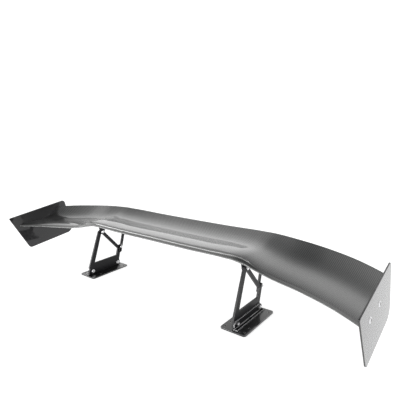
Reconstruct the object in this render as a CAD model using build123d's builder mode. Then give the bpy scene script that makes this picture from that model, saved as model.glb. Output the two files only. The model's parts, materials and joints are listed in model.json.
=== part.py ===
from build123d import *
import os
from math import atan2, cos, hypot, pi, radians, sin

os.makedirs("parts", exist_ok=True)

# Racing rear wing: a bowed, twisted carbon foil between two end plates, on two plate pedestals.
# The foil hinges on the pedestals' front heads, and a slotted link behind each one sets its angle.
# Frame: X along the span, -Y towards the leading edge, +Z up, millimetres.
# Origin: midspan, in the plane the base plates stand on, under the middle of the overall depth.
# Everything off the midspan is built for the +X side and mirrored.

# ---------------------------------------------------------------- driving dimensions
SPAN = 1700.0                 # over the outer faces of the end plates
PEDESTAL_X = 409.0            # middle of each pedestal plate
HINGE_Z = 201.0               # foil hinge above the bottom of the base plates
PIVOT = (5.5, HINGE_Z)        # (y, z) of the foil hinge

# Foil
SKIN = 2.4                    # carbon skin
TRAILING_EDGE = 2.6           # blunt trailing edge height
CAMBER_SKEW = 1.6             # above 1 moves the hollow of the upper surface rearwards
LIP = 11.0                    # height of the lower lip of the nose
LIP_SHARE = 0.6               # most of the nose height the lip may take
LIP_RAKE = 0.35               # how far the lip leans back, as a share of its height
HEEL_SHARE = 0.3              # heel behind the nose, as a share of the nose height
LIP_BULGE = 0.45              # foremost point of the lip, as a share of its height
CORE_START = 0.07             # hollow inside the skins, as shares of the chord
CORE_END = 0.83
END_RIB = 20.0                # closing rib
SPAR = 10.0                   # main spar, runs straight through the bowed foil
SPAR_Y = -1.0
REAR_SPAR = 8.0
REAR_SPAR_Y = 95.0
REAR_SPAR_OVERHANG = 111.0    # rear spar beyond each pedestal

# Foil stations. Places run from midspan (0) to the pedestals (1), to the end of the
# twisted part (2), to the tips (3). Heights are measured from the foil hinge.
TWIST = 111.0                 # span of the twisted part outboard of each pedestal
# place, lower nose (y, height), upper trailing edge (y, height),
# nose height, crease set-back, camber depth, extra belly thickness, scoop depth
STATIONS = [
    (0.0, (-56.5, 39.0), (224.5, 68.0), 24.0, 5.0, 24.0, 12.0, 1.6),
    (0.49, (-59.0, 40.0), (217.5, 71.0), 24.0, 5.0, 24.0, 12.0, 1.6),
    (0.86, (-57.5, 41.0), (200.5, 79.0), 24.5, 5.0, 24.0, 12.0, 2.0),
    (0.96, (-55.5, 39.0), (192.5, 81.5), 24.5, 6.0, 24.0, 12.0, 3.0),
    (1.1, (-53.7, 34.0), (187.0, 83.4), 23.0, 9.0, 24.0, 12.0, 4.5),
    (1.32, (-53.5, 29.2), (182.0, 84.0), 17.5, 12.0, 24.0, 12.0, 3.5),
    (1.6, (-54.0, 21.8), (176.0, 84.0), 14.0, 9.0, 24.0, 12.0, 1.0),
    (2.0, (-57.0, 12.5), (166.5, 83.5), 13.0, 7.0, 25.0, 12.0, 0.3),
    (2.39, (-75.0, -1.0), (146.5, 75.0), 12.0, 6.0, 27.0, 13.0, 0.2),
    (2.73, (-119.0, -3.0), (102.0, 70.0), 10.0, 5.5, 28.0, 14.0, 0.2),
    (3.0, (-175.5, -1.0), (45.5, 65.5), 8.0, 5.0, 28.0, 14.0, 0.2),
]

# End plates: corners as (y, height from the foil hinge),
# front top, rear top, rear bottom, front bottom
END_PLATE = 4.0
END_PLATE_CORNERS = [(-224.5, 50.0), (84.5, 95.0), (125.5, -91.0), (-133.5, -126.5)]
END_PLATE_RADII = [5.0, 16.0, 34.0, 18.0]
END_BOLT_Y = (-124.0, -30.0)
END_BOLT_R = 2.5
END_BOLT_DEPTH = 13.0         # reach into the closing rib
CUP_R = 9.0                   # cup washer under each countersunk head
CUP_H = 2.4
CUP_SLOPE = 38.0              # outer cone of the cup washer, degrees
CUP_SEAT_SLOPE = 50.0         # countersink, degrees

# Pedestals, outlines in (y, z)
PLATE = 8.0                   # pedestal plate thickness
NODE = (109.5, 97.0)          # adjuster bolt
HEAD_WALL = 8.0               # plate around the foil hinge bolt
NODE_WALL = 6.5               # plate around the adjuster bolt
FRONT_TOP = (-8.3, 3.0)       # top of the front upright's middle line, from the foil hinge
FRONT_FOOT = (-68.8, 34.0)
FRONT_WIDTH = (17.5, 23.5)    # top, bottom
BRACE_TOP = (6.5, -6.0)       # top of the brace's middle line, from the foil hinge
BRACE_LOW = (-14.5, 1.0)      # lower end of that line, from the adjuster bolt
BRACE_WIDTH = 15.0
REAR_TOP = (-4.5, 0.0)        # top of the rear upright's middle line, from the adjuster bolt
REAR_FOOT = (86.0, 34.0)
REAR_WIDTH = 19.5
BAND_TOP = 58.0               # top edge of the solid lower band
BAND_FRONT = -82.0
BAND_REAR = 98.0
BAND_CHAMFER = 8.0
WINDOW_FILLET = 6.0
PLATE_LIFT = 1.0              # pedestal edge clear of the base plate

# Base plates and angle brackets
BASE_T = 5.0
BASE_WIDTH = 103.0
BASE_LENGTH = 206.0
BASE_SHIFT = 3.5              # middle of the base plate, outboard of the pedestal
BASE_Y = 11.5
BASE_CORNER = 10.0
BASE_HOLE_R = 3.3
BASE_HOLE_SIDE = 12.5         # corner hole to side edge
BASE_HOLE_FRONT = 18.0        # corner hole to front and rear edges
BASE_PAIR_FRONT = 51.0        # second front pair to the front edge
ANGLE_T = 4.0
ANGLE_LEG = 28.0              # height of the leg above the base plate
ANGLE_FOOT = 11.5             # reach of the foot beyond the leg
ANGLE_MARGIN = 9.0            # base plate beyond each end of the angle
ANGLE_CHAMFER = 11.0
ANGLE_BEND_R = 2.0
ANGLE_BOLT_Y = (-60.5, 86.5)
ANGLE_BOLT_UP = 15.0          # foot bolts above the base plate
FOOT_SCREW_END = 12.5         # outer foot screws from the ends of the angle
FOOT_SCREW_R = 2.0
FOOT_SCREW_HEAD_R = 4.0
FOOT_NUT_R = 4.0
FOOT_NUT_T = 3.2
COUNTERSINK = 45.0            # half angle of the foot screws' heads, degrees

# Foil brackets and rear links
LUG = 6.0                     # lug and link thickness
LINK_TOP = (151.0, HINGE_Z + 34.0)    # rear link hinge on the foil
FLANGE_T = 5.0
FLANGE_WIDTH = 46.0           # across the span
FLANGE_CORNER = 5.0
LUG_FLARE = 6.0               # lug wider at the flange than at the hinge, each side
FRONT_FLANGE = (-14.0, 47.0)  # y range
REAR_FLANGE = (109.0, 158.0)
FRONT_SCREW_Y = (18.0, 38.0)
REAR_SCREW_Y = (118.0, 142.0)
FLANGE_SCREW_X = 17.0         # half the spacing across
FLANGE_SCREW_R = 2.5
FLANGE_HEAD_SHARE = 1.8       # head radius over screw radius
FLANGE_HEAD_T = 2.75
SCREW_TIP = 0.5               # hole beyond the tip of a screw
BUSH_WALL = 2.0
LINK_WIDTH = 14.5
LINK_WALL = 5.0               # link beyond the end of its slot
SLOT_SPARE = 1.0              # slot beyond the bolt's travel, each end
WASHER_T = 1.0
BOLT_R = 4.0                  # foil hinge and foot bolts
LINK_BOLT_R = 3.0             # bolts at both ends of the rear links
HEAD_SHARE = 1.9              # bolt head radius over bolt radius
NUT_SHARE = 1.62              # nut half width over bolt radius
WASHER_SHARE = 2.2            # washer radius over bolt radius
SOCKET_SHARE = 0.65           # hexagon socket radius over bolt radius
HEAD_T = 4.0
HEAD_SLOPE = 20.0             # side of a button head, degrees
NUT_T = 5.0
THREAD_END = 2.0              # bolt end proud of its nut
FIT = 0.08                    # running fit of a hinge pin, radial
GAP = 0.35                    # between faces that slide past each other
HOLE_CLEARANCE = 0.25         # radial, around clamped bolts
SLOT_CLEARANCE = 0.7          # radial, around the adjuster bolt
FOIL_ANGLES = (-4.0, 8.0)     # hinge range, degrees, trailing edge up positive

# ---------------------------------------------------------------- worked-out places
FOIL_END = SPAN / 2 - END_PLATE
PLATE_IN = PEDESTAL_X - PLATE / 2
PLATE_OUT = PEDESTAL_X + PLATE / 2
LUG_OUT = PLATE_IN - WASHER_T - GAP
LUG_IN = LUG_OUT - LUG
REAR_LUG_IN = LUG_OUT + GAP
ANGLE_OUT = PLATE_OUT + ANGLE_T
BASE_X = PEDESTAL_X + BASE_SHIFT
ANGLE_BOLTS = [(y, BASE_T + ANGLE_BOLT_UP) for y in ANGLE_BOLT_Y]
ANGLE_LENGTH = BASE_LENGTH - 2 * ANGLE_MARGIN


def turned(point, angle):
    """Point of the foil, turned about the foil hinge by angle degrees."""
    dy = point[0] - PIVOT[0]
    dz = point[1] - PIVOT[1]
    c = cos(radians(angle))
    s = sin(radians(angle))
    return (PIVOT[0] + dy * c - dz * s, PIVOT[1] + dy * s + dz * c)


def reach(angle):
    """Distance from the link's hinge to the adjuster bolt at a foil angle."""
    y, z = turned(LINK_TOP, angle)
    return hypot(y - NODE[0], z - NODE[1])


def save(piece, name):
    """Label a piece and write its STEP file."""
    piece.label = name
    export_step(piece, "parts/" + name + ".step")


def save_pair(piece, name):
    """Write the +X piece as the right one and its mirror image as the left one."""
    save(piece, name + "_right")
    save(mirror(piece, about=Plane.YZ), name + "_left")


def save_both(piece, name):
    """Write small pieces of both sides as one group of separate solids."""
    group = piece.solids() + mirror(piece, about=Plane.YZ).solids()
    save(Compound(children=group), name)


# ---------------------------------------------------------------- foil sections
def hermite(x, places, values, slopes):
    """Smooth curve through the values at the places."""
    k = 0
    while k < len(places) - 2 and x > places[k + 1]:
        k += 1
    width = places[k + 1] - places[k]
    t = (x - places[k]) / width
    rise = values[k + 1] - values[k]
    ends = slopes[k] * (1 - t) - slopes[k + 1] * t
    bend = rise * (1 - 2 * t)
    return values[k] + rise * t + t * (1 - t) * (width * ends - bend)


def slopes_of(places, values):
    """Slope at each place, level at midspan, from the parabola through its neighbours."""
    steps = [
        (values[k + 1] - values[k]) / (places[k + 1] - places[k])
        for k in range(len(places) - 1)
    ]
    slopes = [0.0]
    for k in range(1, len(places) - 1):
        share = (places[k] - places[k - 1]) / (places[k + 1] - places[k - 1])
        slopes.append(steps[k - 1] * (1 - share) + steps[k] * share)
    return slopes + [2 * steps[-1] - slopes[-1]]


def place_x(place):
    """Span position of a station place."""
    knots = (0.0, PEDESTAL_X, PEDESTAL_X + TWIST, SPAN / 2)
    k = min(int(place), 2)
    return knots[k] + (knots[k + 1] - knots[k]) * (place - k)


def raised(point):
    """Point given by its height from the foil hinge, as (y, z)."""
    return (point[0], HINGE_Z + point[1])


PLACES = [place_x(station[0]) for station in STATIONS]
COLUMNS = list(zip(*(raised(s[1]) + raised(s[2]) + s[3:] for s in STATIONS)))
SLOPES = [slopes_of(PLACES, column) for column in COLUMNS]


def station_at(x):
    """Nose, tail, nose height, set-back, camber, belly and scoop at any span place."""
    row = [hermite(abs(x), PLACES, c, s) for c, s in zip(COLUMNS, SLOPES)]
    return [(row[0], row[1]), (row[2], row[3])] + row[4:]


def upper_point(station, share):
    """Point of the hollow upper surface at a share of the chord behind the crease."""
    nose, tail, height, setback, camber = station[:5]
    y0 = nose[0] + setback
    z0 = nose[1] + height
    dip = camber * sin(pi * share ** CAMBER_SKEW)
    return (y0 + (tail[0] - y0) * share, z0 + (tail[1] - z0) * share - dip)


def thickness(station, share):
    """Foil thickness at a share of the chord."""
    height = station[2]
    belly = station[5]
    taper = (height - TRAILING_EDGE) * (1 - share) ** 1.2
    return TRAILING_EDGE + taper + belly * 4 * share * (1 - share) ** 1.5


def lower_point(station, share):
    """Point of the lower surface straight under upper_point."""
    y, z = upper_point(station, share)
    return (y, z - thickness(station, share))


def underside(x, y):
    """Height of the foil's lower surface at a place in plan."""
    station = station_at(x)
    front = upper_point(station, 0)[0]
    share = (y - front) / (station[1][0] - front)
    return lower_point(station, share)[1]


def mid_height(x, y):
    """Height halfway between the foil's two surfaces at a place in plan."""
    station = station_at(x)
    front = upper_point(station, 0)[0]
    share = (y - front) / (station[1][0] - front)
    return upper_point(station, share)[1] - thickness(station, share) / 2


def nose_points(station):
    """Front of a section from the heel underneath, over the lip, to the crease on top."""
    y, z = station[0]
    height = station[2]
    scoop = station[6]
    lip = min(LIP, LIP_SHARE * height)
    top = (y + LIP_RAKE * lip, z + lip)
    crease = upper_point(station, 0)
    waist = ((top[0] + crease[0]) / 2 + scoop, (top[1] + crease[1]) / 2)
    return [(y + HEEL_SHARE * height, z), (y, z + LIP_BULGE * lip), top, waist, crease]


def foil_outline(station):
    """Closed outer profile of the foil: hollow top, blunt tail, belly and nose."""
    front = nose_points(station)
    tail = station[1]
    tail_low = (tail[0], tail[1] - TRAILING_EDGE)
    Spline(
        [front[-1]] + [upper_point(station, s) for s in (0.2, 0.45, 0.7, 0.87)] + [tail]
    )
    Line(tail, tail_low)
    Spline(
        [tail_low] + [lower_point(station, s) for s in (0.87, 0.65, 0.4, 0.18)] + [front[0]]
    )
    Spline(front)


def core_outline(station):
    """Closed profile of the hollow between the skins."""
    shares = [CORE_START + (CORE_END - CORE_START) * k / 4 for k in range(5)]
    top = [(y, z - SKIN) for y, z in (upper_point(station, s) for s in shares)]
    low = [(y, z + SKIN) for y, z in (lower_point(station, s) for s in shares)]
    Spline(top)
    Line(top[-1], low[-1])
    Spline(low[::-1])
    Line(low[0], top[0])


def span_places():
    """Places of the sections from tip to tip, closer together where the nose changes."""
    half = [FOIL_END * k / 20 for k in range(21)]
    half += [x + FOIL_END / 40 for x in half if abs(x - PEDESTAL_X - TWIST / 3) < TWIST]
    half.sort()
    return [-x for x in half[:0:-1]] + half


with BuildPart() as foil_solid:
    for x in span_places():
        with BuildSketch(Plane.YZ.offset(x)):
            with BuildLine():
                foil_outline(station_at(x))
            make_face()
    loft(ruled=True)

with BuildPart() as foil_core:
    for x in span_places():
        with BuildSketch(Plane.YZ.offset(x)):
            with BuildLine():
                core_outline(station_at(x))
            make_face()
    loft(ruled=True)


# ---------------------------------------------------------------- foil brackets
def flange_plane(flange):
    """Plane under the foil, tilted with its lower surface, touching its lowest corner."""
    y0, y1 = flange
    edges = [PEDESTAL_X - FLANGE_WIDTH / 2, PEDESTAL_X + FLANGE_WIDTH / 2]
    slope = (underside(PEDESTAL_X, y1) - underside(PEDESTAL_X, y0)) / (y1 - y0)
    middle = (y0 + y1) / 2
    spots = [(x, y) for x in edges for y in (y0, middle, y1)]
    drop = min(underside(x, y) - slope * (y - middle) for x, y in spots)
    tilt = atan2(slope, 1)
    return Plane(
        origin=(PEDESTAL_X, middle, drop - 0.5 * FLANGE_T),
        x_dir=(1, 0, 0),
        z_dir=(0, -sin(tilt), cos(tilt)),
    )


FLANGES = {"front": FRONT_FLANGE, "rear": REAR_FLANGE}
SCREW_ROWS = {"front": FRONT_SCREW_Y, "rear": REAR_SCREW_Y}


def screw_places(key):
    """Four screw places on the plane of the front or rear flange."""
    middle = sum(FLANGES[key]) / 2
    rows = [y - middle for y in SCREW_ROWS[key]]
    return [(x, y) for x in (-FLANGE_SCREW_X, FLANGE_SCREW_X) for y in rows]


FLANGE_PLANES = {key: flange_plane(flange) for key, flange in FLANGES.items()}
FLANGE_RISE = {"front": 16.0, "rear": 6.5}        # flange stock reaching up to the foil
SCREW_REACH = {"front": 20.0, "rear": 8.5}        # screw length above its head
HINGES = {"front": PIVOT, "rear": LINK_TOP}
LUG_RADII = {"front": BOLT_R + HEAD_WALL, "rear": 3 * LINK_BOLT_R}
LUG_FACES = {"front": LUG_IN, "rear": REAR_LUG_IN}
LUG_HOLES = {"front": BOLT_R + BUSH_WALL, "rear": LINK_BOLT_R + HOLE_CLEARANCE}

for key, flange in FLANGES.items():
    plane = FLANGE_PLANES[key]
    hinge = HINGES[key]
    radius = LUG_RADII[key]
    bottom = plane.offset(-0.5 * FLANGE_T)
    with BuildPart() as bracket:
        with BuildSketch(bottom):
            RectangleRounded(FLANGE_WIDTH, flange[1] - flange[0], FLANGE_CORNER)
        extrude(amount=FLANGE_T + FLANGE_RISE[key])
        with BuildSketch(Plane.YZ.offset(LUG_FACES[key])):
            with Locations(hinge):
                Circle(radius)
            stock_top = plane.origin.Z + 0.5 * FLANGE_RISE[key]
            Polygon(
                (hinge[0] - radius, hinge[1]),
                (hinge[0] + radius, hinge[1]),
                (min(hinge[0] + radius + LUG_FLARE, flange[1] - 1), stock_top),
                (max(hinge[0] - radius - LUG_FLARE, flange[0] + 1), stock_top),
                align=None,
            )
        extrude(amount=LUG)
        with BuildSketch(Plane.YZ.offset(LUG_FACES[key])):
            with Locations(hinge):
                Circle(LUG_HOLES[key])
        extrude(amount=LUG, mode=Mode.SUBTRACT)
        with BuildSketch(bottom):
            with Locations(screw_places(key)):
                Circle(FLANGE_SCREW_R + HOLE_CLEARANCE)
        extrude(amount=2 * FLANGE_RISE[key], mode=Mode.SUBTRACT)
        add(foil_solid.part, mode=Mode.SUBTRACT)
    save_pair(bracket.part, "foil_bracket_" + key)

with BuildPart() as bracket_screws:
    for key in FLANGES:
        bottom = FLANGE_PLANES[key].offset(-0.5 * FLANGE_T)
        with BuildSketch(bottom):
            with Locations(screw_places(key)):
                Circle(FLANGE_SCREW_R)
        extrude(amount=FLANGE_T + SCREW_REACH[key])
        with BuildSketch(bottom):
            with Locations(screw_places(key)):
                Circle(FLANGE_HEAD_SHARE * FLANGE_SCREW_R)
        extrude(amount=-FLANGE_HEAD_T)
save_both(bracket_screws.part, "bracket_screws")


def screw_clearance(radius):
    """Holes for the bracket screws of both sides, through skin and blocks."""
    with BuildPart() as holes:
        for key in FLANGES:
            with BuildSketch(FLANGE_PLANES[key].offset(-0.5 * FLANGE_T)):
                with Locations(screw_places(key)):
                    Circle(radius)
            extrude(amount=FLANGE_T + SCREW_REACH[key] + SCREW_TIP)
        mirror(about=Plane.YZ)
    return holes.part


# ---------------------------------------------------------------- foil shell and what it holds
with BuildPart() as airfoil_shell:
    add(foil_solid.part)
    add(foil_core.part, mode=Mode.SUBTRACT)
    add(screw_clearance(FLANGE_SCREW_R + HOLE_CLEARANCE), mode=Mode.SUBTRACT)
save(airfoil_shell.part, "airfoil_shell")

TALL = 400.0                  # taller than the foil, for cutting its hollow into pieces


def core_slice(x_range, y_range):
    """Part of the foil's hollow between two span places and two chord places."""
    with BuildPart() as piece:
        with BuildSketch():
            with Locations((sum(x_range) / 2, sum(y_range) / 2)):
                Rectangle(x_range[1] - x_range[0], y_range[1] - y_range[0])
        extrude(amount=TALL)
        add(foil_core.part, mode=Mode.INTERSECT)
    return piece.part


RIB_IN = FOIL_END - END_RIB
REAR_SPAR_END = PEDESTAL_X + REAR_SPAR_OVERHANG
END_BOLT_PLACES = [(y, mid_height(FOIL_END - END_BOLT_DEPTH / 2, y)) for y in END_BOLT_Y]
save(
    core_slice((-RIB_IN, RIB_IN), (SPAR_Y - SPAR / 2, SPAR_Y + SPAR / 2)),
    "main_spar",
)
save(
    core_slice(
        (-REAR_SPAR_END, REAR_SPAR_END),
        (REAR_SPAR_Y - REAR_SPAR / 2, REAR_SPAR_Y + REAR_SPAR / 2),
    ),
    "rear_spar",
)

BLOCK_X = (PEDESTAL_X - FLANGE_WIDTH / 2, PEDESTAL_X + FLANGE_WIDTH / 2)
BLOCK_Y = {
    "front": (SPAR_Y + SPAR / 2, FRONT_FLANGE[1]),
    "rear": (REAR_SPAR_Y + REAR_SPAR / 2, REAR_FLANGE[1]),
}
for key in FLANGES:
    with BuildPart() as mounting_block:
        add(core_slice(BLOCK_X, BLOCK_Y[key]))
        add(screw_clearance(FLANGE_SCREW_R), mode=Mode.SUBTRACT)
    save_pair(mounting_block.part, "mounting_block_" + key)

with BuildPart() as end_rib:
    add(core_slice((RIB_IN, FOIL_END), (-TALL, TALL)))
    with BuildSketch(Plane.YZ.offset(FOIL_END)):
        with Locations(END_BOLT_PLACES):
            Circle(END_BOLT_R)
    extrude(amount=-END_BOLT_DEPTH - SCREW_TIP, mode=Mode.SUBTRACT)
save_pair(end_rib.part, "end_rib")

# ---------------------------------------------------------------- end plates
END_CORNERS = [raised(corner) for corner in END_PLATE_CORNERS]
with BuildPart() as end_plate:
    with BuildSketch(Plane.YZ.offset(FOIL_END)):
        Polygon(*END_CORNERS, align=None)
        for corner, radius in zip(END_CORNERS, END_PLATE_RADII):
            fillet(vertices().sort_by_distance(Vector(*corner))[0], radius)
        with Locations(END_BOLT_PLACES):
            Circle(END_BOLT_R + HOLE_CLEARANCE, mode=Mode.SUBTRACT)
    extrude(amount=END_PLATE)
save_pair(end_plate.part, "end_plate")

PLATE_FACE = FOIL_END + END_PLATE
with BuildPart() as cup_washers:
    with BuildSketch(Plane.YZ.offset(PLATE_FACE)):
        with Locations(END_BOLT_PLACES):
            Circle(CUP_R)
    extrude(amount=CUP_H, taper=CUP_SLOPE)
    with BuildSketch(Plane.YZ.offset(PLATE_FACE)):
        with Locations(END_BOLT_PLACES):
            Circle(END_BOLT_R + HOLE_CLEARANCE)
    extrude(amount=CUP_H, taper=-CUP_SEAT_SLOPE, mode=Mode.SUBTRACT)
save_both(cup_washers.part, "cup_washers")

with BuildPart() as end_plate_bolts:
    with BuildSketch(Plane.YZ.offset(PLATE_FACE)):
        with Locations(END_BOLT_PLACES):
            Circle(END_BOLT_R)
    extrude(amount=CUP_H, taper=-CUP_SEAT_SLOPE)
    with BuildSketch(Plane.YZ.offset(PLATE_FACE)):
        with Locations(END_BOLT_PLACES):
            Circle(END_BOLT_R)
    extrude(amount=-END_PLATE - END_BOLT_DEPTH)
    with BuildSketch(Plane.YZ.offset(PLATE_FACE + CUP_H)):
        with Locations(END_BOLT_PLACES):
            RegularPolygon(SOCKET_SHARE * END_BOLT_R, 6)
    extrude(amount=-CUP_H, mode=Mode.SUBTRACT)
save_both(end_plate_bolts.part, "end_plate_bolts")


# ---------------------------------------------------------------- pedestals
def bar(start, finish, width, end_width):
    """Straight tapered bar between two points of the pedestal outline."""
    length = hypot(finish[0] - start[0], finish[1] - start[1])
    across = ((start[1] - finish[1]) / length / 2, (finish[0] - start[0]) / length / 2)
    return Polygon(
        (start[0] + across[0] * width, start[1] + across[1] * width),
        (start[0] - across[0] * width, start[1] - across[1] * width),
        (finish[0] - across[0] * end_width, finish[1] - across[1] * end_width),
        (finish[0] + across[0] * end_width, finish[1] + across[1] * end_width),
        align=None,
    )


def shifted(point, step):
    """Point moved by a (y, z) step."""
    return (point[0] + step[0], point[1] + step[1])


BAND_LOW = BASE_T + PLATE_LIFT
with BuildPart() as pedestal:
    with BuildSketch(Plane.YZ.offset(PLATE_IN)) as outline:
        with Locations(PIVOT):
            Circle(BOLT_R + HEAD_WALL)
        with Locations(NODE):
            Circle(LINK_BOLT_R + NODE_WALL)
        bar(shifted(PIVOT, FRONT_TOP), FRONT_FOOT, *FRONT_WIDTH)
        bar(shifted(PIVOT, BRACE_TOP), shifted(NODE, BRACE_LOW), BRACE_WIDTH, BRACE_WIDTH)
        bar(shifted(NODE, REAR_TOP), REAR_FOOT, REAR_WIDTH, REAR_WIDTH)
        Polygon(
            (BAND_FRONT, BAND_LOW + BAND_CHAMFER),
            (BAND_FRONT + BAND_CHAMFER, BAND_LOW),
            (BAND_REAR - BAND_CHAMFER, BAND_LOW),
            (BAND_REAR, BAND_LOW + BAND_CHAMFER),
            (REAR_FOOT[0] + REAR_WIDTH / 2, BAND_TOP - BAND_CHAMFER),
            (REAR_FOOT[0], BAND_TOP),
            (FRONT_FOOT[0], BAND_TOP),
            align=None,
        )
        window = outline.sketch.faces()[0].inner_wires()[0]
        fillet(window.vertices(), WINDOW_FILLET)
        with Locations(PIVOT, *ANGLE_BOLTS):
            Circle(BOLT_R + HOLE_CLEARANCE, mode=Mode.SUBTRACT)
        with Locations(NODE):
            Circle(LINK_BOLT_R + HOLE_CLEARANCE, mode=Mode.SUBTRACT)
    extrude(amount=PLATE)
save_pair(pedestal.part, "pedestal")

# ---------------------------------------------------------------- base plates and angles
FOOT_X = ANGLE_OUT + (ANGLE_BEND_R + ANGLE_FOOT) / 2
FOOT_SCREW_Y = ANGLE_LENGTH / 2 - FOOT_SCREW_END
FOOT_SCREWS = [(FOOT_X, BASE_Y + y) for y in (-FOOT_SCREW_Y, 0, FOOT_SCREW_Y)]
HOLE_X = BASE_WIDTH / 2 - BASE_HOLE_SIDE
HOLE_Y = BASE_LENGTH / 2 - BASE_HOLE_FRONT
PAIR_Y = BASE_PAIR_FRONT - BASE_LENGTH / 2
BASE_HOLES = [
    (BASE_X + x, BASE_Y + y)
    for x in (-HOLE_X, HOLE_X)
    for y in (-HOLE_Y, PAIR_Y, HOLE_Y)
]
SCREW_HEAD_H = FOOT_SCREW_HEAD_R - FOOT_SCREW_R

with BuildPart() as base_plate:
    with BuildSketch():
        with Locations((BASE_X, BASE_Y)):
            RectangleRounded(BASE_WIDTH, BASE_LENGTH, BASE_CORNER)
        with Locations(BASE_HOLES):
            Circle(BASE_HOLE_R, mode=Mode.SUBTRACT)
        with Locations(FOOT_SCREWS):
            Circle(FOOT_SCREW_R + HOLE_CLEARANCE, mode=Mode.SUBTRACT)
    extrude(amount=BASE_T)
    with BuildSketch():
        with Locations(FOOT_SCREWS):
            Circle(FOOT_SCREW_HEAD_R + HOLE_CLEARANCE)
    extrude(amount=SCREW_HEAD_H, taper=COUNTERSINK, mode=Mode.SUBTRACT)
save_pair(base_plate.part, "base_plate")

with BuildPart() as angle_bracket:
    with BuildSketch(Plane.YZ.offset(PLATE_OUT)):
        with Locations((BASE_Y, BASE_T)):
            Rectangle(ANGLE_LENGTH, ANGLE_LEG, align=(Align.CENTER, Align.MIN))
        chamfer(vertices().group_by(Axis.Z)[-1], ANGLE_CHAMFER)
        with Locations(*ANGLE_BOLTS):
            Circle(BOLT_R + HOLE_CLEARANCE, mode=Mode.SUBTRACT)
    extrude(amount=ANGLE_T)
    with BuildSketch(Plane.XY.offset(BASE_T)):
        with Locations((PLATE_OUT, BASE_Y)):
            Rectangle(ANGLE_T + ANGLE_FOOT, ANGLE_LENGTH, align=(Align.MIN, Align.CENTER))
        with Locations(FOOT_SCREWS):
            Circle(FOOT_SCREW_R + HOLE_CLEARANCE, mode=Mode.SUBTRACT)
    extrude(amount=ANGLE_T)
    inner = Vector(ANGLE_OUT, BASE_Y, BASE_T + ANGLE_T)
    fillet(edges().filter_by(Axis.Y).sort_by_distance(inner)[0], ANGLE_BEND_R)
save_pair(angle_bracket.part, "angle_bracket")

with BuildPart() as foot_screws:
    with BuildSketch():
        with Locations(FOOT_SCREWS):
            Circle(FOOT_SCREW_HEAD_R)
    extrude(amount=SCREW_HEAD_H, taper=COUNTERSINK)
    with BuildSketch():
        with Locations(FOOT_SCREWS):
            Circle(FOOT_SCREW_R)
    extrude(amount=BASE_T + ANGLE_T + FOOT_NUT_T + 1)
save_both(foot_screws.part, "foot_screws")

with BuildPart() as foot_nuts:
    with BuildSketch(Plane.XY.offset(BASE_T + ANGLE_T)):
        with Locations(FOOT_SCREWS):
            RegularPolygon(FOOT_NUT_R, 6)
            Circle(FOOT_SCREW_R, mode=Mode.SUBTRACT)
    extrude(amount=FOOT_NUT_T)
save_both(foot_nuts.part, "foot_nuts")

# ---------------------------------------------------------------- rear links
LINK_DIR = (NODE[0] - LINK_TOP[0], NODE[1] - LINK_TOP[1])
LINK_PLANE = Plane(
    origin=(LUG_IN, LINK_TOP[0], LINK_TOP[1]),
    x_dir=(0, LINK_DIR[0], LINK_DIR[1]),
    z_dir=(1, 0, 0),
)
SLOT_START = reach(FOIL_ANGLES[0]) - SLOT_SPARE
SLOT_END = reach(FOIL_ANGLES[1]) + SLOT_SPARE
SLOT_R = LINK_BOLT_R + SLOT_CLEARANCE
LINK_END = SLOT_END + SLOT_R + LINK_WALL

with BuildPart() as rear_link:
    with BuildSketch(LINK_PLANE):
        Circle(LINK_WIDTH / 2)
        with Locations((LINK_END / 2, 0)):
            Rectangle(LINK_END, LINK_WIDTH)
        fillet(vertices().group_by(Axis.Z)[0], LINK_WIDTH / 3)
        Circle(LINK_BOLT_R + FIT, mode=Mode.SUBTRACT)
        with Locations(((SLOT_START + SLOT_END) / 2, 0)):
            SlotCenterToCenter(SLOT_END - SLOT_START, 2 * SLOT_R, mode=Mode.SUBTRACT)
    extrude(amount=LUG)
save_pair(rear_link.part, "rear_link")


# ---------------------------------------------------------------- bolts, nuts and washers
def bolts(places, radius, head_face, nut_face):
    """Button-head bolts along X, heads inboard of head_face, nuts outboard of nut_face."""
    with BuildPart() as group:
        with BuildSketch(Plane.YZ.offset(head_face)):
            with Locations(*places):
                Circle(radius)
        extrude(amount=nut_face - head_face + NUT_T + THREAD_END)
        with BuildSketch(Plane.YZ.offset(head_face)):
            with Locations(*places):
                Circle(HEAD_SHARE * radius)
        extrude(amount=-HEAD_T, taper=HEAD_SLOPE)
        with BuildSketch(Plane.YZ.offset(head_face - HEAD_T)):
            with Locations(*places):
                RegularPolygon(SOCKET_SHARE * radius, 6)
        extrude(amount=HEAD_T / 2, mode=Mode.SUBTRACT)
    return group.part


def nuts(places, radius, face):
    """Hexagon nuts along X, outboard of a face."""
    with BuildPart() as group:
        with BuildSketch(Plane.YZ.offset(face)):
            with Locations(*places):
                RegularPolygon(NUT_SHARE * radius, 6, major_radius=False)
                Circle(radius, mode=Mode.SUBTRACT)
        extrude(amount=NUT_T)
    return group.part


def washers(places, radius, face):
    """Washers along X, inboard of a face."""
    with BuildPart() as group:
        with BuildSketch(Plane.YZ.offset(face)):
            with Locations(*places):
                Circle(WASHER_SHARE * radius)
                Circle(radius + HOLE_CLEARANCE, mode=Mode.SUBTRACT)
        extrude(amount=-WASHER_T)
    return group.part


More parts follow.
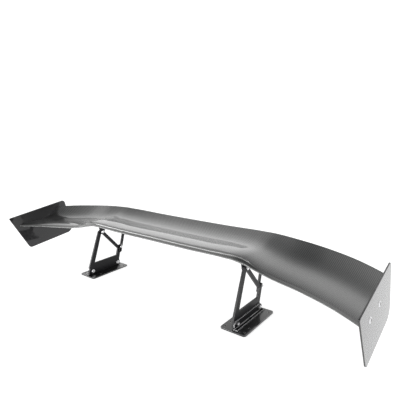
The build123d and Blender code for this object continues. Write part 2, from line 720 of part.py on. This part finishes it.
LINK_NUT_FACE = REAR_LUG_IN + LUG
save_both(bolts([PIVOT], BOLT_R, LUG_IN - GAP, PLATE_OUT), "pivot_bolts")
save_both(nuts([PIVOT], BOLT_R, PLATE_OUT), "pivot_nuts")
save_both(washers([PIVOT], BOLT_R, PLATE_IN), "pivot_washers")
save_both(bolts([NODE], LINK_BOLT_R, LUG_IN - GAP - WASHER_T, PLATE_OUT), "adjuster_bolts")
save_both(nuts([NODE], LINK_BOLT_R, PLATE_OUT), "adjuster_nuts")
save_both(washers([NODE], LINK_BOLT_R, PLATE_IN), "adjuster_washers")
save_both(washers([NODE], LINK_BOLT_R, LUG_IN - GAP), "slot_washers")
save_both(bolts([LINK_TOP], LINK_BOLT_R, LUG_IN - GAP, LINK_NUT_FACE), "link_pins")
save_both(nuts([LINK_TOP], LINK_BOLT_R, LINK_NUT_FACE), "link_pin_nuts")
save_both(bolts(ANGLE_BOLTS, BOLT_R, PLATE_IN - WASHER_T, ANGLE_OUT), "angle_bolts")
save_both(nuts(ANGLE_BOLTS, BOLT_R, ANGLE_OUT), "angle_nuts")
save_both(washers(ANGLE_BOLTS, BOLT_R, PLATE_IN), "angle_washers")

with BuildPart() as pivot_bushes:
    with BuildSketch(Plane.YZ.offset(LUG_IN)):
        with Locations(PIVOT):
            Circle(BOLT_R + BUSH_WALL)
            Circle(BOLT_R + FIT, mode=Mode.SUBTRACT)
    extrude(amount=LUG)
save_both(pivot_bushes.part, "pivot_bushes")
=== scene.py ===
import bpy
import bmesh
import json
import numpy as np
from math import cos, pi, radians, sin
from mathutils import Matrix, Vector


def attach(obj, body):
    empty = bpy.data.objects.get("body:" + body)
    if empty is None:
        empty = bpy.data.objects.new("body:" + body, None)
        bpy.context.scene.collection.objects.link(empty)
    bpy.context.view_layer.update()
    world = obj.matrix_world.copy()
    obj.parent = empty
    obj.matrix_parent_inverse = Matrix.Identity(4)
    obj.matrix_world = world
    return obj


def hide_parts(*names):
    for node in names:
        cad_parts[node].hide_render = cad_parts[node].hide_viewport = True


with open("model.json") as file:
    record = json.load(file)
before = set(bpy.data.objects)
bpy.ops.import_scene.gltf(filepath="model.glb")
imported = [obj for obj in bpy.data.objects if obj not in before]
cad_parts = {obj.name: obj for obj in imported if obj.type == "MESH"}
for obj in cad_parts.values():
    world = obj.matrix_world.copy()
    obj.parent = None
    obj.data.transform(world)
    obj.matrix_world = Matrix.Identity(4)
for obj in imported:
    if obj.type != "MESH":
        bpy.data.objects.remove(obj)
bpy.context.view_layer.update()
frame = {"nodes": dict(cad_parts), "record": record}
MM = 0.001

# ---------------------------------------------------------------- foil surface
# The part's own station table and section formulas, in millimetres, sampled finely.
SPAN = 1700.0
END_PLATE = 4.0
PEDESTAL_X = 409.0
TWIST = 111.0
HINGE_Z = 201.0
TRAILING_EDGE = 2.6
CAMBER_SKEW = 1.6
LIP = 11.0
LIP_SHARE = 0.6
LIP_RAKE = 0.35
HEEL_SHARE = 0.3
LIP_BULGE = 0.45
LOW_SHARES = (0.87, 0.65, 0.4, 0.18)      # chord shares that the belly curve passes through

# How finely the surface is sampled, and how its sharp corners are rounded, in millimetres.
HALF_SECTIONS = 131
TOP_POINTS = 44
BELLY_POINTS = 40
NOSE_POINTS = 26
TAIL_ROUND = 0.5
TAIL_STEPS = 4
CREASE_ROUND = 1.1
CREASE_STEPS = 5
SHARP_ANGLE = radians(50)

# place, lower nose (y, height), upper trailing edge (y, height),
# nose height, crease set-back, camber depth, extra belly thickness, scoop depth
STATIONS = [
    (0.0, (-56.5, 39.0), (224.5, 68.0), 24.0, 5.0, 24.0, 12.0, 1.6),
    (0.49, (-59.0, 40.0), (217.5, 71.0), 24.0, 5.0, 24.0, 12.0, 1.6),
    (0.86, (-57.5, 41.0), (200.5, 79.0), 24.5, 5.0, 24.0, 12.0, 2.0),
    (0.96, (-55.5, 39.0), (192.5, 81.5), 24.5, 6.0, 24.0, 12.0, 3.0),
    (1.1, (-53.7, 34.0), (187.0, 83.4), 23.0, 9.0, 24.0, 12.0, 4.5),
    (1.32, (-53.5, 29.2), (182.0, 84.0), 17.5, 12.0, 24.0, 12.0, 3.5),
    (1.6, (-54.0, 21.8), (176.0, 84.0), 14.0, 9.0, 24.0, 12.0, 1.0),
    (2.0, (-57.0, 12.5), (166.5, 83.5), 13.0, 7.0, 25.0, 12.0, 0.3),
    (2.39, (-75.0, -1.0), (146.5, 75.0), 12.0, 6.0, 27.0, 13.0, 0.2),
    (2.73, (-119.0, -3.0), (102.0, 70.0), 10.0, 5.5, 28.0, 14.0, 0.2),
    (3.0, (-175.5, -1.0), (45.5, 65.5), 8.0, 5.0, 28.0, 14.0, 0.2),
]


def place_x(place):
    """Span position of a station place."""
    knots = (0.0, PEDESTAL_X, PEDESTAL_X + TWIST, SPAN / 2)
    k = min(int(place), 2)
    return knots[k] + (knots[k + 1] - knots[k]) * (place - k)


def hermite(x, places, values, slopes):
    """Smooth curve through the values at the places."""
    k = 0
    while k < len(places) - 2 and x > places[k + 1]:
        k += 1
    width = places[k + 1] - places[k]
    t = (x - places[k]) / width
    rise = values[k + 1] - values[k]
    ends = slopes[k] * (1 - t) - slopes[k + 1] * t
    bend = rise * (1 - 2 * t)
    return values[k] + rise * t + t * (1 - t) * (width * ends - bend)


def slopes_of(places, values):
    """Slope at each place, level at midspan."""
    steps = [
        (values[k + 1] - values[k]) / (places[k + 1] - places[k])
        for k in range(len(places) - 1)
    ]
    slopes = [0.0]
    for k in range(1, len(places) - 1):
        share = (places[k] - places[k - 1]) / (places[k + 1] - places[k - 1])
        slopes.append(steps[k - 1] * (1 - share) + steps[k] * share)
    return slopes + [2 * steps[-1] - slopes[-1]]


PLACES = [place_x(s[0]) for s in STATIONS]
ROWS = [
    (nose[0], HINGE_Z + nose[1], tail[0], HINGE_Z + tail[1], *rest)
    for _, nose, tail, *rest in STATIONS
]
COLUMNS = list(zip(*ROWS))
SLOPES = [slopes_of(PLACES, column) for column in COLUMNS]


def station_at(x):
    """Nose, tail, nose height, set-back, camber, belly and scoop at any span place."""
    row = [hermite(abs(x), PLACES, c, s) for c, s in zip(COLUMNS, SLOPES)]
    return [(row[0], row[1]), (row[2], row[3])] + row[4:]


def upper_point(station, share):
    """Point of the hollow upper surface at a share of the chord behind the crease."""
    nose, tail, height, setback, camber = station[:5]
    y0 = nose[0] + setback
    z0 = nose[1] + height
    dip = camber * sin(pi * share ** CAMBER_SKEW)
    return (y0 + (tail[0] - y0) * share, z0 + (tail[1] - z0) * share - dip)


def lower_point(station, share):
    """Point of the lower surface straight under upper_point."""
    height, belly = station[2], station[5]
    y, z = upper_point(station, share)
    taper = (height - TRAILING_EDGE) * (1 - share) ** 1.2
    return (y, z - TRAILING_EDGE - taper - belly * 4 * share * (1 - share) ** 1.5)


def smooth_line(points, count):
    """Natural cubic curve through the points, sampled evenly."""
    p = np.array(points, float)
    t = np.concatenate([[0], np.cumsum(np.linalg.norm(np.diff(p, axis=0), axis=1))])
    n = len(t)
    h = np.diff(t)
    a = np.eye(n)
    b = np.zeros((n, 2))
    for k in range(1, n - 1):
        a[k, k - 1:k + 2] = h[k - 1], 2 * (h[k - 1] + h[k]), h[k]
        b[k] = 6 * ((p[k + 1] - p[k]) / h[k] - (p[k] - p[k - 1]) / h[k - 1])
    m = np.linalg.solve(a, b)
    u = np.linspace(0, t[-1], count)
    k = np.clip(np.searchsorted(t, u, side="right") - 1, 0, n - 2)
    w = h[k][:, None]
    ahead = (t[k + 1] - u)[:, None]
    past = (u - t[k])[:, None]
    return (
        m[k] * ahead ** 3 / (6 * w) + m[k + 1] * past ** 3 / (6 * w)
        + (p[k] / w - m[k] * w / 6) * ahead + (p[k + 1] / w - m[k + 1] * w / 6) * past
    )


def rounded(before, after, radius, steps):
    """Joins two lines that meet at a corner with a small round of the given reach."""
    corner = before[-1]
    inward = before[-2] - corner
    outward = after[1] - corner
    a = corner + inward / np.linalg.norm(inward) * radius
    b = corner + outward / np.linalg.norm(outward) * radius
    t = np.linspace(0, 1, steps)[:, None]
    bend = a * (1 - t) ** 2 + 2 * corner * t * (1 - t) + b * t ** 2
    return np.concatenate([before[:-1], bend]), after[1:]


def foil_ring(x):
    """Closed section of the foil as (y, z) points.

    It runs over the top, round the tail, back underneath and round the nose.
    """
    station = station_at(x)
    (y, z), tail, height = station[:3]
    lip = min(LIP, LIP_SHARE * height)
    crease = upper_point(station, 0)
    top = (y + LIP_RAKE * lip, z + lip)
    waist = ((top[0] + crease[0]) / 2 + station[6], (top[1] + crease[1]) / 2)
    heel = (y + HEEL_SHARE * height, z)
    tail_low = (tail[0], tail[1] - TRAILING_EDGE)
    over = np.array([upper_point(station, s) for s in np.linspace(0, 1, TOP_POINTS)])
    low = [lower_point(station, s) for s in LOW_SHARES]
    under = smooth_line([tail_low] + low + [heel], BELLY_POINTS)
    bulge = (y, z + LIP_BULGE * lip)
    front = smooth_line([heel, bulge, top, waist, crease], NOSE_POINTS)
    over, blunt = rounded(over, np.array([tail, tail_low]), TAIL_ROUND, TAIL_STEPS)
    blunt = np.concatenate([over[-1:], blunt])
    blunt, under = rounded(blunt, under, TAIL_ROUND, TAIL_STEPS)
    front, start = rounded(front, over, CREASE_ROUND, CREASE_STEPS)
    return np.concatenate([start, blunt[1:], under, front[1:]])


def foil_skin():
    """The foil as one closed mesh, with the cloth's own coordinates on its surface."""
    half = (SPAN / 2 - END_PLATE) * np.linspace(0, 1, HALF_SECTIONS)
    spans = np.concatenate([-half[:0:-1], half])
    rings = [foil_ring(x) for x in spans]
    count = len(rings[0])
    middle = rings[len(rings) // 2]
    gaps = np.linalg.norm(middle - np.roll(middle, 1, axis=0), axis=1)
    cloth = np.cumsum(gaps) - gaps[0]
    bm = bmesh.new()
    lattice = [
        [bm.verts.new((x * MM, p[0] * MM, p[1] * MM)) for p in ring]
        for x, ring in zip(spans, rings)
    ]
    layer = bm.loops.layers.float_vector.new("cloth")
    around = np.append(cloth, cloth[-1] + gaps[0]) * MM
    for i in range(len(spans) - 1):
        for j in range(count):
            k = (j + 1) % count
            corners = ((i, j, j), (i, k, j + 1), (i + 1, k, j + 1), (i + 1, j, j))
            face = bm.faces.new([lattice[a][b] for a, b, _ in corners])
            face.smooth = True
            for loop, (a, _, c) in zip(face.loops, corners):
                loop[layer] = (spans[a] * MM, around[c], 0)
    bm.faces.new(lattice[0][::-1])
    bm.faces.new(lattice[-1])
    bmesh.ops.recalc_face_normals(bm, faces=bm.faces)
    mesh = bpy.data.meshes.new("foil_skin")
    bm.to_mesh(mesh)
    bm.free()
    mesh.set_sharp_from_angle(angle=SHARP_ANGLE)
    piece = bpy.data.objects.new("foil_skin", mesh)
    bpy.context.scene.collection.objects.link(piece)
    return piece


# ---------------------------------------------------------------- materials
BEVEL_SAMPLES = 6
EDGE_SAMPLES = 4
TOW = 2.2 * MM                # width of one carbon tow
FIBRE_SCALES = (2600, 260)    # noise across and along the fibres of a tow
WEFT_SHADE = (0.6, 0.40)      # weft against warp, dark and bright tones
GAP_SHADE = 0.35              # between the fibres, against the dark tone
WEAVE_DEPTH = 0.12 * MM
CUT_EDGE = 1.6 * MM           # band along the cut edges of the flat plates; on the base plates it is lightened into a painted edge highlight
HARD_EDGE = 14.0              # gain of a crisp edge band, for the painted edge highlights and the plates' cut edges, against SOFT_EDGE for a rubbed one
SOFT_EDGE = 6.0
BRUSHED = (400, 5200, 5200)   # noise scales of fine lines along X
BLASTED = (2200, 900, 900)    # noise scales of the grain under anodising
BRUSH_DEPTH = 0.015 * MM
GRAIN_DEPTH = 0.02 * MM
RUBBED_ROUND = 0.7 * MM       # rounding of the anodised edges
DULL_DEPTH = 0.05 * MM
DIRT_SHARE = 0.22
DIRT_SHADE = 0.3


class Nodes:
    """Short way to build a material's node tree around its Principled shader."""

    def __init__(self, name):
        self.material = bpy.data.materials.new(name)
        self.material.use_nodes = True
        self.tree = self.material.node_tree
        self.shader = self.tree.nodes["Principled BSDF"]

    def add(self, kind, **settings):
        """New node of the tree with the given settings."""
        node = self.tree.nodes.new(kind)
        for key, value in settings.items():
            setattr(node, key, value)
        return node

    def join(self, source, target):
        self.tree.links.new(source, target)

    def math(self, operation, a, b=None):
        """Result of an operation on one or two values, each plain or linked."""
        node = self.add("ShaderNodeMath", operation=operation)
        for k, value in enumerate((a, b)):
            if value is None:
                continue
            if isinstance(value, (int, float)):
                node.inputs[k].default_value = value
            else:
                self.join(value, node.inputs[k])
        return node.outputs[0]

    def mix(self, share, low, high):
        """Blend of two colours, either plain or linked, by a linked share."""
        node = self.add("ShaderNodeMix", data_type="RGBA")
        self.join(share, node.inputs["Factor"])
        for value, socket in ((low, node.inputs[6]), (high, node.inputs[7])):
            if isinstance(value, tuple):
                socket.default_value = value + (1,)
            else:
                self.join(value, socket)
        return node.outputs[2]

    def ramp(self, source, low, high):
        """Source from 0..1 stretched between two numbers."""
        node = self.add("ShaderNodeMapRange")
        self.join(source, node.inputs["Value"])
        node.inputs["To Min"].default_value = low
        node.inputs["To Max"].default_value = high
        return node.outputs["Result"]

    def noise(self, scale, detail=3.0, coordinates=None, stretch=None):
        """Soft noise, in the piece's own coordinates unless others are given."""
        node = self.add("ShaderNodeTexNoise")
        node.inputs["Scale"].default_value = scale
        node.inputs["Detail"].default_value = detail
        place = coordinates or self.place()
        if stretch:
            mapping = self.add("ShaderNodeMapping")
            mapping.inputs["Scale"].default_value = stretch
            self.join(place, mapping.inputs["Vector"])
            place = mapping.outputs["Vector"]
        self.join(place, node.inputs["Vector"])
        return node.outputs["Fac"]

    def place(self):
        """The piece's own coordinates."""
        return self.add("ShaderNodeTexCoord").outputs["Object"]

    def bevel(self, radius, samples):
        """Normals as if the edges were rounded over."""
        node = self.add("ShaderNodeBevel", samples=samples)
        node.inputs["Radius"].default_value = radius
        return node.outputs["Normal"]

    def bump(self, height, distance, strength, rounding=0.0):
        """Surface relief; rounding softens the edges so that they catch the light."""
        node = self.add("ShaderNodeBump")
        if rounding:
            self.join(self.bevel(rounding, BEVEL_SAMPLES), node.inputs["Normal"])
        node.inputs["Distance"].default_value = distance
        node.inputs["Strength"].default_value = strength
        self.join(height, node.inputs["Height"])
        self.join(node.outputs["Normal"], self.shader.inputs["Normal"])

    def edges(self, radius, gain):
        """1 near an edge, 0 on flat faces."""
        geometry = self.add("ShaderNodeNewGeometry")
        dot = self.add("ShaderNodeVectorMath", operation="DOT_PRODUCT")
        self.join(self.bevel(radius, EDGE_SAMPLES), dot.inputs[0])
        self.join(geometry.outputs["Normal"], dot.inputs[1])
        lost = self.math("SUBTRACT", 1.0, dot.outputs["Value"])
        return self.math("MINIMUM", self.math("MULTIPLY", lost, gain), 1.0)

    def set(self, **values):
        """Plain values for the shader's sockets, with _ for each space in their names."""
        for key, value in values.items():
            self.shader.inputs[key.replace("_", " ")].default_value = value


def scaled(colour, share):
    """Colour multiplied by a share."""
    return tuple(share * c for c in colour)


def carbon(name, plane, dark, bright, coat_roughness, coat_ior, rounding=0.0, rim=None):
    """Two by two twill under clear lacquer.

    plane names the two cloth axes, or the cloth attribute. rim is the tone over the cut edges:
    a darker tone on the end plates, a painted edge highlight on the base plates.
    """
    n = Nodes(name)
    split = n.add("ShaderNodeSeparateXYZ")
    if plane == "cloth":
        source = n.add("ShaderNodeAttribute", attribute_name="cloth").outputs["Vector"]
        plane = "XY"
    else:
        source = n.place()
    n.join(source, split.inputs[0])
    u = n.math("DIVIDE", split.outputs[plane[0]], TOW)
    v = n.math("DIVIDE", split.outputs[plane[1]], TOW)
    cells = n.math("ADD", n.math("FLOOR", u), n.math("FLOOR", v))
    step = n.math("FLOORED_MODULO", cells, 4.0)
    over = n.math("LESS_THAN", step, 1.5)
    across_u = n.math("SINE", n.math("MULTIPLY", n.math("FRACT", u), pi))
    across_v = n.math("SINE", n.math("MULTIPLY", n.math("FRACT", v), pi))
    switch = n.add("ShaderNodeMix", data_type="FLOAT")
    n.join(over, switch.inputs["Factor"])
    n.join(across_u, switch.inputs[2])
    n.join(across_v, switch.inputs[3])
    crown = n.math("POWER", switch.outputs[0], 0.5)
    fine, coarse = FIBRE_SCALES
    strands_u = n.noise(1.0, 2.0, source, (fine, coarse, coarse))
    strands_v = n.noise(1.0, 2.0, source, (coarse, fine, fine))
    strands = n.add("ShaderNodeMix", data_type="FLOAT")
    n.join(over, strands.inputs["Factor"])
    n.join(strands_u, strands.inputs[2])
    n.join(strands_v, strands.inputs[3])
    warp = n.mix(crown, dark, bright)
    weft = n.mix(crown, scaled(dark, WEFT_SHADE[0]), scaled(bright, WEFT_SHADE[1]))
    cloth = n.mix(over, warp, weft)
    grain = n.mix(n.ramp(strands.outputs[0], 0.0, 0.55), cloth, scaled(dark, GAP_SHADE))
    cloud = n.mix(n.ramp(n.noise(7.0, 3.0, source), 0.0, 0.35), grain, dark)
    n.join(cloud, n.shader.inputs["Base Color"])
    n.join(n.ramp(strands.outputs[0], 0.30, 0.46), n.shader.inputs["Roughness"])
    height = n.math("ADD", crown, n.math("MULTIPLY", strands.outputs[0], 0.25))
    n.bump(height, WEAVE_DEPTH, 0.8, rounding)
    if rounding:
        n.join(n.bevel(rounding, BEVEL_SAMPLES), n.shader.inputs["Coat Normal"])
    if rim:
        # rim tone over the cut edges; the light base-plate rim is a painted edge highlight
        edge_band = n.edges(CUT_EDGE, HARD_EDGE)
        n.join(n.mix(edge_band, cloud, rim), n.shader.inputs["Base Color"])
        n.join(n.ramp(edge_band, 1.0, 0.1), n.shader.inputs["Coat Weight"])
    n.set(Metallic=0.55, Coat_Weight=1.0, Coat_Roughness=coat_roughness, Coat_IOR=coat_ior)
    return n.material


def anodised(name, rim, rim_width, gain):
    """Satin black anodised aluminium; the edges are lightened over a narrow rim: rubbed wear on
    most parts, a painted edge highlight where the rim is bright.
    """
    n = Nodes(name)
    tone = n.mix(n.noise(45.0, 4.0), (0.004, 0.004, 0.005), (0.009, 0.009, 0.011))
    patches = n.ramp(n.noise(160.0, 3.0), 0.4, 1.2)
    # edge band lightened towards the rim colour; a bright rim makes it a painted edge highlight
    edge_wear_and_highlight = n.math("MULTIPLY", n.edges(rim_width, gain), patches)
    n.join(n.mix(edge_wear_and_highlight, tone, rim), n.shader.inputs["Base Color"])
    n.join(n.ramp(n.noise(260.0, 3.0), 0.27, 0.40), n.shader.inputs["Roughness"])
    n.bump(n.noise(1.0, 2.0, None, BLASTED), GRAIN_DEPTH, 0.5, RUBBED_ROUND)
    n.set(Metallic=0.1, Specular_IOR_Level=0.25)
    return n.material


def metal(name, low, high, roughness, scale):
    """Turned or brushed bare metal."""
    n = Nodes(name)
    tone = n.mix(n.noise(scale, 4.0), low, high)
    dirt = n.math("MULTIPLY", n.noise(420.0, 3.0), DIRT_SHARE)
    n.join(n.mix(dirt, tone, scaled(low, DIRT_SHADE)), n.shader.inputs["Base Color"])
    n.join(n.ramp(n.noise(900.0, 2.0), *roughness), n.shader.inputs["Roughness"])
    n.bump(n.noise(1.0, 2.0, None, BRUSHED), BRUSH_DEPTH, 0.6)
    n.set(Metallic=1.0)
    return n.material


def bare_carbon(name):
    """Dull cured carbon without lacquer."""
    n = Nodes(name)
    tone = n.mix(n.noise(320.0, 4.0), (0.020, 0.020, 0.020), (0.060, 0.060, 0.060))
    n.join(tone, n.shader.inputs["Base Color"])
    n.join(n.ramp(n.noise(600.0, 2.0), 0.5, 0.7), n.shader.inputs["Roughness"])
    n.bump(n.noise(900.0, 2.0), DULL_DEPTH, 0.6)
    return n.material


BLACK = (0.004, 0.004, 0.005)
CARBON_FOIL = carbon(
    "carbon_foil", "cloth", (0.020, 0.020, 0.020), (0.150, 0.152, 0.148),
    coat_roughness=0.045, coat_ior=1.62,
)
CARBON_END = carbon(
    "carbon_end_plate", "YZ", BLACK, (0.024, 0.024, 0.026),
    coat_roughness=0.03, coat_ior=1.45, rim=(0.002, 0.002, 0.002),
)
# base plates: the light grey rim is a painted highlight along the cut edges
CARBON_BASE = carbon(
    "carbon_base_plate", "XY", BLACK, (0.010, 0.010, 0.011),
    coat_roughness=0.04, coat_ior=1.35, rounding=1.3 * MM, rim=(0.40, 0.40, 0.41),
)
ANODISED = anodised("black_anodised", (0.045, 0.045, 0.048), 0.9 * MM, SOFT_EDGE)
# angle brackets: the near-white rim is a painted highlight along the edges
ANGLE_PAINTED_HIGHLIGHT = anodised("black_anodised_angle_painted_highlight", (0.95, 0.95, 0.96), 2.6 * MM, HARD_EDGE)
STAINLESS = metal(
    "stainless", (0.78, 0.78, 0.79), (0.92, 0.92, 0.93), roughness=(0.20, 0.34), scale=60.0
)
MACHINED = metal(
    "machined_aluminium", (0.66, 0.66, 0.67), (0.80, 0.80, 0.81),
    roughness=(0.28, 0.42), scale=40.0,
)
BRONZE = metal(
    "bronze_bush", (0.60, 0.42, 0.22), (0.74, 0.55, 0.30), roughness=(0.25, 0.40), scale=90.0
)
BLACK_STEEL = metal(
    "black_steel", (0.020, 0.020, 0.022), (0.040, 0.040, 0.043),
    roughness=(0.24, 0.38), scale=80.0,
)
BARE = bare_carbon("bare_carbon")

BY_SLOT = {
    "carbon": CARBON_FOIL, "carbon_inner": BARE, "aluminium_block": MACHINED,
    "black_anodised": ANODISED, "stainless_fasteners": STAINLESS, "bronze": BRONZE,
    "black_fasteners": BLACK_STEEL,
}


def node_material(node, slot):
    """Material of a CAD node: by its slot, with the plates and angles told apart by name."""
    if slot == "carbon_plate":
        return CARBON_BASE if node.startswith("base_plate") else CARBON_END
    return ANGLE_PAINTED_HIGHLIGHT if node.startswith("angle_bracket") else BY_SLOT[slot]


for entry in frame["record"]["subparts"]:
    shown = frame["nodes"][entry["node"]]
    shown.data.materials.clear()
    shown.data.materials.append(node_material(entry["node"], entry["material_slot"]))

skin = foil_skin()
skin.data.materials.append(CARBON_FOIL)
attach(skin, "wing")
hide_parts("airfoil_shell")

# ---------------------------------------------------------------- floor, light and camera
FLOOR_HALF = 30.0
FLOOR_DROP = 0.4 * MM         # floor clear of the base plates
FLOOR_TONE = (0.6, 0.6, 0.6, 1)
SKY_LEAN = (0.14, 0.0, 1.0)   # direction in which the studio gets darker
SKY_BRIGHT = (0.48, (1.0, 1.0, 1.0, 1))
SKY_DIM = (0.95, (0.12, 0.125, 0.13, 1))
SKY_STRENGTH = 1.22

floor_mesh = bpy.data.meshes.new("floor")
square = ((-1, -1), (1, -1), (1, 1), (-1, 1))
floor_mesh.from_pydata(
    [(FLOOR_HALF * x, FLOOR_HALF * y, 0) for x, y in square], [], [(0, 1, 2, 3)]
)
floor = bpy.data.objects.new("floor", floor_mesh)
floor.location.z = -FLOOR_DROP
bpy.context.scene.collection.objects.link(floor)
paper = Nodes("floor_paper")
paper.set(Roughness=0.9, Base_Color=FLOOR_TONE)
paper.set(Emission_Color=(1, 1, 1, 1), Emission_Strength=0.72)
floor_mesh.materials.append(paper.material)

world = bpy.data.worlds.new("studio")
world.use_nodes = True
sky = world.node_tree
direction = sky.nodes.new("ShaderNodeTexCoord").outputs["Generated"]
lean = sky.nodes.new("ShaderNodeVectorMath")
lean.operation = "DOT_PRODUCT"
lean.inputs[1].default_value = SKY_LEAN
sky.links.new(direction, lean.inputs[0])
fade = sky.nodes.new("ShaderNodeValToRGB")
stops = fade.color_ramp.elements
stops[0].position, stops[0].color = SKY_BRIGHT
stops[1].position, stops[1].color = SKY_DIM
sky.links.new(lean.outputs["Value"], fade.inputs["Fac"])
sky.links.new(fade.outputs["Color"], sky.nodes["Background"].inputs["Color"])
sky.nodes["Background"].inputs["Strength"].default_value = SKY_STRENGTH
bpy.context.scene.world = world
bpy.context.scene.view_settings.view_transform = "Standard"


def softbox(name, place, target, size, power):
    """Rectangular soft light aimed at a point."""
    light = bpy.data.lights.new(name, "AREA")
    light.shape = "RECTANGLE"
    light.size, light.size_y = size
    light.energy = power
    lamp = bpy.data.objects.new(name, light)
    lamp.location = place
    lamp.rotation_euler = (Vector(target) - Vector(place)).to_track_quat("-Z", "Y").to_euler()
    bpy.context.scene.collection.objects.link(lamp)


softbox(
    "softbox_front", place=(-1.5, -2.8, 0.40), target=(0, 0, 0.25), size=(4.4, 0.5), power=95.0
)

# The camera stands ahead of the right-hand end plate and looks back across the foil.
AZIMUTH = radians(37.76)
ELEVATION = radians(11.23)
ROLL = radians(-1.2)
CAMERA_PLACE = (1.0444, -1.0246, 0.686)
LENS = 31.6
SENSOR = 36.0
SHIFT = (0.0005, -0.0209)
FAR_CLIP = 200.0

forward = Vector((
    -sin(AZIMUTH) * cos(ELEVATION), cos(AZIMUTH) * cos(ELEVATION), -sin(ELEVATION)
))
level = Vector((cos(AZIMUTH), sin(AZIMUTH), 0))
upright = level.cross(forward)
right = cos(ROLL) * level + sin(ROLL) * upright
up = cos(ROLL) * upright - sin(ROLL) * level
camera_data = bpy.data.cameras.new("camera")
camera_data.sensor_width = SENSOR
camera_data.lens = LENS
camera_data.shift_x, camera_data.shift_y = SHIFT
camera_data.clip_end = FAR_CLIP
camera = bpy.data.objects.new("camera", camera_data)
turn = Matrix((right, up, -forward)).transposed().to_4x4()
camera.matrix_world = Matrix.Translation(CAMERA_PLACE) @ turn
bpy.context.scene.collection.objects.link(camera)
bpy.context.scene.camera = camera
